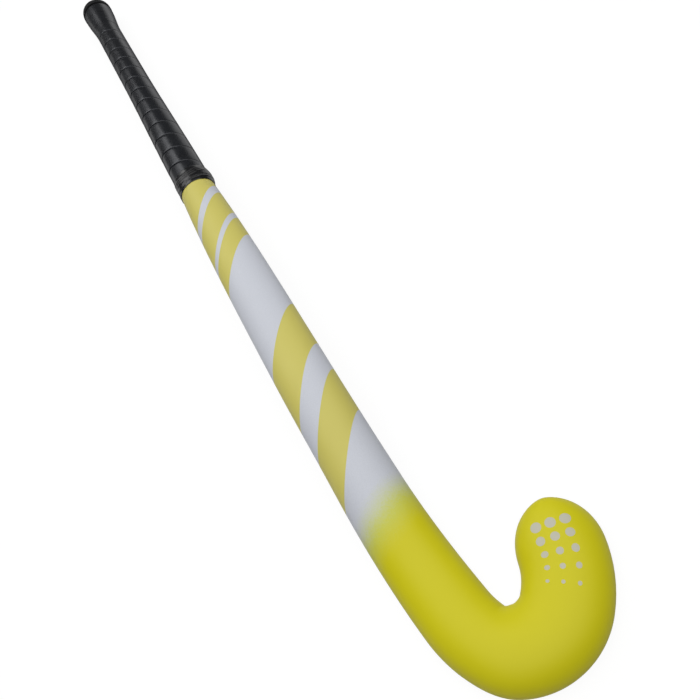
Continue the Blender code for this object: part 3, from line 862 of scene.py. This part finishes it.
# Each point's distance along the handle, term by term. Both ends of the strip are cut square.
seeded = add(tree, "ShaderNodeMath", {0: turn, 1: STRIP_SEED})
wander = add(tree, "ShaderNodeTexNoise", {"W": seeded, "Scale": STRIP_WANDERINGS, "Detail": 1.0},
             noise_dimensions="1D")
known = dict(given, turn=turn, across=across, wander=wander, half=0.5, share=LIP_SHARE)
for result, operation, *terms in (
    ("off", "SUBTRACT", "wander", "half"),
    ("off", "MULTIPLY", "off", "Wander"),
    ("thin edge", "MULTIPLY_ADD", "turn", "Pitch", "First edge"),
    ("thin edge", "ADD", "thin edge", "off"),
    ("thick edge", "ADD", "thin edge", "Width"),
    ("thin edge", "MAXIMUM", "thin edge", "Start"),
    ("thick edge", "MINIMUM", "thick edge", "End"),
    ("room", "SUBTRACT", "thick edge", "thin edge"),
    ("lip room", "MULTIPLY", "room", "share"),
    ("lip room", "MINIMUM", "lip room", "Lip"),
    ("lip scale", "DIVIDE", "lip room", "Lip"),
    ("inward", "SUBTRACT", "Width", "across"),
    ("in lip", "LESS_THAN", "inward", "Lip"),
    ("lip s", "MULTIPLY", "inward", "lip scale"),
    ("lip s", "SUBTRACT", "thick edge", "lip s"),
    ("body", "SUBTRACT", "Width", "Lip"),
    ("body share", "DIVIDE", "across", "body"),
    ("body room", "SUBTRACT", "room", "lip room"),
    ("body s", "MULTIPLY_ADD", "body share", "body room", "thin edge"),
    ("gain", "SUBTRACT", "lip s", "body s"),
    ("s", "MULTIPLY_ADD", "gain", "in lip", "body s"),
    ("share along", "DIVIDE", "s", "Line length"),
):
    inputs = {i: known[term] for i, term in enumerate(terms)}
    known[result] = add(tree, "ShaderNodeMath", inputs, operation=operation)

# From that place on the handle's line a ray finds the sleeve, the way round that the turn says.
sample = add(tree, "GeometryNodeSampleCurve", {"Curves": sources["Handle line"],
             "Factor": known["share along"]})
angle = add(tree, "ShaderNodeMath", {0: turn, 1: -2 * math.pi}, operation="MULTIPLY")
sideways = add(tree, "ShaderNodeMath", {0: angle}, operation="COSINE")
upward = add(tree, "ShaderNodeMath", {0: angle}, operation="SINE")
up = add(tree, "ShaderNodeVectorMath", {0: sample.outputs["Tangent"], 1: (0.0, 1.0, 0.0)},
         operation="CROSS_PRODUCT")
outward = add(tree, "ShaderNodeCombineXYZ", {"Y": sideways})
outward = add(tree, "ShaderNodeVectorMath", {0: up, 1: upward, 2: outward}, operation="MULTIPLY_ADD")
source = add(tree, "ShaderNodeVectorMath", {0: outward, 1: given["Ray"], 2: sample.outputs["Position"]},
             operation="MULTIPLY_ADD")
inward = add(tree, "ShaderNodeVectorMath", {0: outward, "Scale": -1.0}, operation="SCALE")
normal = add(tree, "GeometryNodeInputNormal")
hit = add(tree, "GeometryNodeRaycast", {"Target Geometry": sources["Sleeve"], "Attribute": normal,
          "Source Position": source, "Ray Direction": inward, "Ray Length": given["Ray"]},
          data_type="FLOAT_VECTOR")

# Near the butt and on the toe side the strip's top is level with its laps, which closes the grooves
# beside them.
smooth = add(tree, "ShaderNodeMapRange", {"Value": known["s"], "From Min": given["Smooth from"],
             "From Max": given["Smooth to"]}, interpolation_type="SMOOTHSTEP")
on_top = add(tree, "ShaderNodeMath", {0: rise, 1: given["Top least"]}, operation="GREATER_THAN")
pressed = add(tree, "ShaderNodeMapRange", {"Value": sideways, "From Min": given["Press from"],
              "From Max": given["Press to"], "To Max": given["Press"]}, interpolation_type="SMOOTHSTEP")
smooth = add(tree, "ShaderNodeMath", {0: smooth, 1: pressed}, operation="MAXIMUM")
smooth = add(tree, "ShaderNodeMath", {0: smooth, 1: on_top}, operation="MULTIPLY")
missing = add(tree, "ShaderNodeMath", {0: given["Lip top"], 1: rise}, operation="SUBTRACT")
level = add(tree, "ShaderNodeMath", {0: missing, 1: smooth, 2: rise}, operation="MULTIPLY_ADD")
level = add(tree, "ShaderNodeMath", {0: level, 1: given["Fit"]})
facing = add(tree, "ShaderNodeVectorMath", {0: hit.outputs["Attribute"]}, operation="NORMALIZE")
laid = add(tree, "ShaderNodeVectorMath", {0: facing, 1: level, 2: hit.outputs["Hit Position"]},
           operation="MULTIPLY_ADD")

# Laid round the sleeve, the swept faces point inwards, so they are flipped.
wound = add(tree, "GeometryNodeSetPosition", {"Geometry": swept, "Position": laid})
wound = add(tree, "GeometryNodeFlipFaces", {"Mesh": wound})
wound = add(tree, "GeometryNodeSetShadeSmooth", {"Geometry": wound})
wound = add(tree, "GeometryNodeRealizeInstances", {"Geometry": wound})
wound = add(tree, "GeometryNodeSetMaterial", {"Geometry": wound, "Material": given["Material"]})
strip = grow("grip_strip_wound", tree, wound, strip_sizes)
strip.data.set_sharp_from_angle(angle=SHARP_ANGLE)
for helper in (handle_line, cut):
    bpy.data.objects.remove(helper)
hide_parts("grip_strip")
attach(strip, "root")

# The finishing tape
# A band of stretchy glossy tape holds the strip's lower end and laps onto the bare shaft. It is
# thick where the end is tucked in, on the toe side, and its turns pull into slanting folds.
TAPE = 0.00036
TAPE_PULLED = 0.0004
TAPE_EDGE = 0.0007
TAPE_EDGE_SHARE = 0.45
TAPE_RINGS = 56
TUCK = 0.0016
TUCK_ANGLE = math.radians(15)
TUCK_FALL = 3
FOLDS = (0.0024, 0.0050, 0.0078)
FOLD_HEIGHT = 0.00030
FOLD_WIDTH = 0.0008
FOLD_SLANT = 0.0040
FOLD_ANGLE = math.radians(100)
FOLD_LEAST = 0.2
FOLD_FADE_IN = 0.002
FOLD_FADE_OUT = 0.004


def tape_bulge(a):
    """The tape's share of its fullest bulge at an angle, full over the strip's tucked end."""
    return np.maximum(np.cos(a - TUCK_ANGLE), 0.0) ** TUCK_FALL


tape_start = GRIP_LENGTH - TAPE_WIDTH

# The bulge along the tape: (s, share of the fullest bulge).
BULGE = (
    (tape_start, 0.0),
    (tape_start + 0.003, 0.40),
    (tape_start + 0.011, 1.00),
    (HANDLE_END, 1.00),
    (HANDLE_END + 0.003, 0.90),
    (SHAFT_START, 0.60),
    (SHAFT_START + 0.002, 0.30),
    (GRIP_LENGTH, 0.0),
)
bulge_along = smooth_curve(*zip(*BULGE))
angles = 2 * math.pi * np.arange(SIDES) / SIDES
fold_around = FOLD_LEAST + (1 - FOLD_LEAST) * np.maximum(np.cos(angles - FOLD_ANGLE), 0.0)
inner_rings, outer_rings = [], []
for s in [tape_start] + spaced(tape_start, GRIP_LENGTH, TAPE_RINGS):
    down = unit((s - HANDLE_END) / SHOULDER_LENGTH)
    inner = (GRIP_THICKNESS + FIT - TAPE_PULLED) * (1 - down) + FIT * down
    edge = min(s - tape_start, GRIP_LENGTH - s, TAPE_EDGE) / TAPE_EDGE
    thick = TAPE * (TAPE_EDGE_SHARE + (1 - TAPE_EDGE_SHARE) * math.sqrt(edge * (2 - edge)))
    folds = np.zeros(SIDES)
    for fold in FOLDS:
        line_at = tape_start + fold + FOLD_SLANT * np.sin(angles - TUCK_ANGLE)
        folds += np.exp(-((s - line_at) / FOLD_WIDTH) ** 2) * fold_around
    fade = unit((HANDLE_END - s) / FOLD_FADE_OUT) * unit((s - tape_start) / FOLD_FADE_IN)
    low = round_handle(s, inner + thick)
    high = round_handle(s, inner + thick + TUCK)
    share = (bulge_along(s) * tape_bulge(angles) + folds * fade * FOLD_HEIGHT / TUCK)[:, None]
    inner_rings.append(round_handle(s, inner))
    outer_rings.append(low * (1 - share) + high * share)
tape = skin("grip_finishing_tape", outer_rings + inner_rings[::-1], joined=True)

# Stretched vinyl tape: black and half glossy, pulled smooth, with faint stretch marks that run
# round the handle. Each is about 1.1 mm wide and 8.3 mm long.
VINYL_DARK = "#0e0e10"
VINYL_PALE = "#151517"
MARKS_ALONG_A_METRE = 900.0
MARKS_ROUND_A_METRE = 120.0
vinyl, tree, shader = new_material("stretched_vinyl", 0.22, VINYL_DARK, IOR=1.4)
place = add(tree, "ShaderNodeTexCoord").outputs["Object"]
stretched = (MARKS_ALONG_A_METRE, MARKS_ROUND_A_METRE, MARKS_ROUND_A_METRE)
marks = add(tree, "ShaderNodeMapping", {"Vector": place, "Scale": stretched})
marks = add(tree, "ShaderNodeTexNoise", {"Vector": marks, "Scale": 1.0, "Detail": 2.0})
shades = add(tree, "ShaderNodeMix", {"Factor": marks, "A": linear(VINYL_DARK), "B": linear(VINYL_PALE)},
             data_type="RGBA")
gloss = add(tree, "ShaderNodeMapRange", {"Value": marks, "To Min": 0.17, "To Max": 0.26})
gloss = drier_rims(tree, gloss)
relief = add(tree, "ShaderNodeBump", {"Height": marks, "Strength": 0.15, "Distance": 0.0003})
feed(tree, shader, Base_Color=shades, Roughness=gloss, Normal=relief)
dress(tape, vinyl)
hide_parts("finishing_tape")
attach(tape, "root")

# The studio floor
# A plain pale sweep that fills the picture. It shows almost white to the camera, less so in glossy
# reflections, and keeps a faint part of the stick's soft shadow.
PAPER = "#c4c4c4"
WHITE = "#ffffff"
FLOOR_SIDE = 12.0
FLOOR_DROP = 0.0003
FLOOR_WHITE = 0.85
FLOOR_MIRRORED = 0.35
FLOOR_GLOW = 1.09
floor_mesh = bpy.data.meshes.new("studio_floor")
h = FLOOR_SIDE / 2
corners = [(x, y, -FLOOR_DROP) for x, y in ((-h, -h), (h, -h), (h, h), (-h, h))]
floor_mesh.from_pydata(corners, [], [(0, 1, 2, 3)])
floor = bpy.data.objects.new("studio_floor", floor_mesh)
bpy.context.scene.collection.objects.link(floor)
paper = bpy.data.materials.new("white_paper")
paper.use_nodes = True
tree = paper.node_tree
tree.nodes.clear()


def shown(tree, to_camera, mirrored):
    """How white the background is made: so much to the camera, and so much in reflections."""
    rays = add(tree, "ShaderNodeLightPath").outputs
    bent = add(tree, "ShaderNodeMath", {0: rays["Is Glossy Ray"], 1: rays["Is Transmission Ray"]},
               operation="MAXIMUM")
    bent = add(tree, "ShaderNodeMath", {0: bent, 1: mirrored}, operation="MULTIPLY")
    return add(tree, "ShaderNodeMath", {0: rays["Is Camera Ray"], 1: to_camera, 2: bent},
               operation="MULTIPLY_ADD")


seen = shown(tree, FLOOR_WHITE, FLOOR_MIRRORED)
matt_paper = add(tree, "ShaderNodeBsdfDiffuse", {"Color": linear(PAPER)})
glow = add(tree, "ShaderNodeEmission", {"Color": linear(WHITE), "Strength": FLOOR_GLOW})
mixed = add(tree, "ShaderNodeMixShader", {0: seen, 1: matt_paper, 2: glow})
add(tree, "ShaderNodeOutputMaterial", {"Surface": mixed})
dress(floor, paper)

# The light
# One large soft box hangs overhead in a dim room, which shows white to the camera. Two weaker ones
# stand beyond the butt, left and right, and the grip shows the gap between them as a dark band.
ROOM = 0.08
ROOM_WHITE = 1.0
ROOM_MIRRORED = 0.02
world = bpy.data.worlds.new("room")
world.use_nodes = True
tree = world.node_tree
backdrop = tree.nodes["Background"]
backdrop.inputs["Color"].default_value = linear(WHITE)
seen = shown(tree, ROOM_WHITE, ROOM_MIRRORED)
strength = add(tree, "ShaderNodeMath", {0: seen, 1: ROOM_WHITE - ROOM, 2: ROOM}, operation="MULTIPLY_ADD")
feed(tree, backdrop, Strength=strength)
bpy.context.scene.world = world


def soft_box(name, at, aim, width, height, power):
    """A rectangular lamp at one place, turned towards another."""
    data = bpy.data.lights.new(name, "AREA")
    data.shape = "RECTANGLE"
    data.size, data.size_y, data.energy = width, height, power
    lamp = bpy.data.objects.new(name, data)
    lamp.location = at
    lamp.rotation_euler = (Vector(aim) - Vector(at)).to_track_quat("-Z", "Y").to_euler()
    bpy.context.scene.collection.objects.link(lamp)


soft_box("overhead_box", at=(-0.3, 0.1, 1.5), aim=(-0.3, 0.05, 0.0), width=2.8, height=2.4, power=38.0)
soft_box("butt_box_left", at=(-2.2, -0.84, 1.45), aim=(-0.5, 0.0, 0.0), width=1.65, height=0.8, power=10.5)
soft_box("butt_box_right", at=(-2.2, 0.85, 0.18), aim=(-0.65, 0.0, 0.0), width=0.8, height=0.35, power=0.62)

bpy.context.scene.view_settings.view_transform = "Standard"
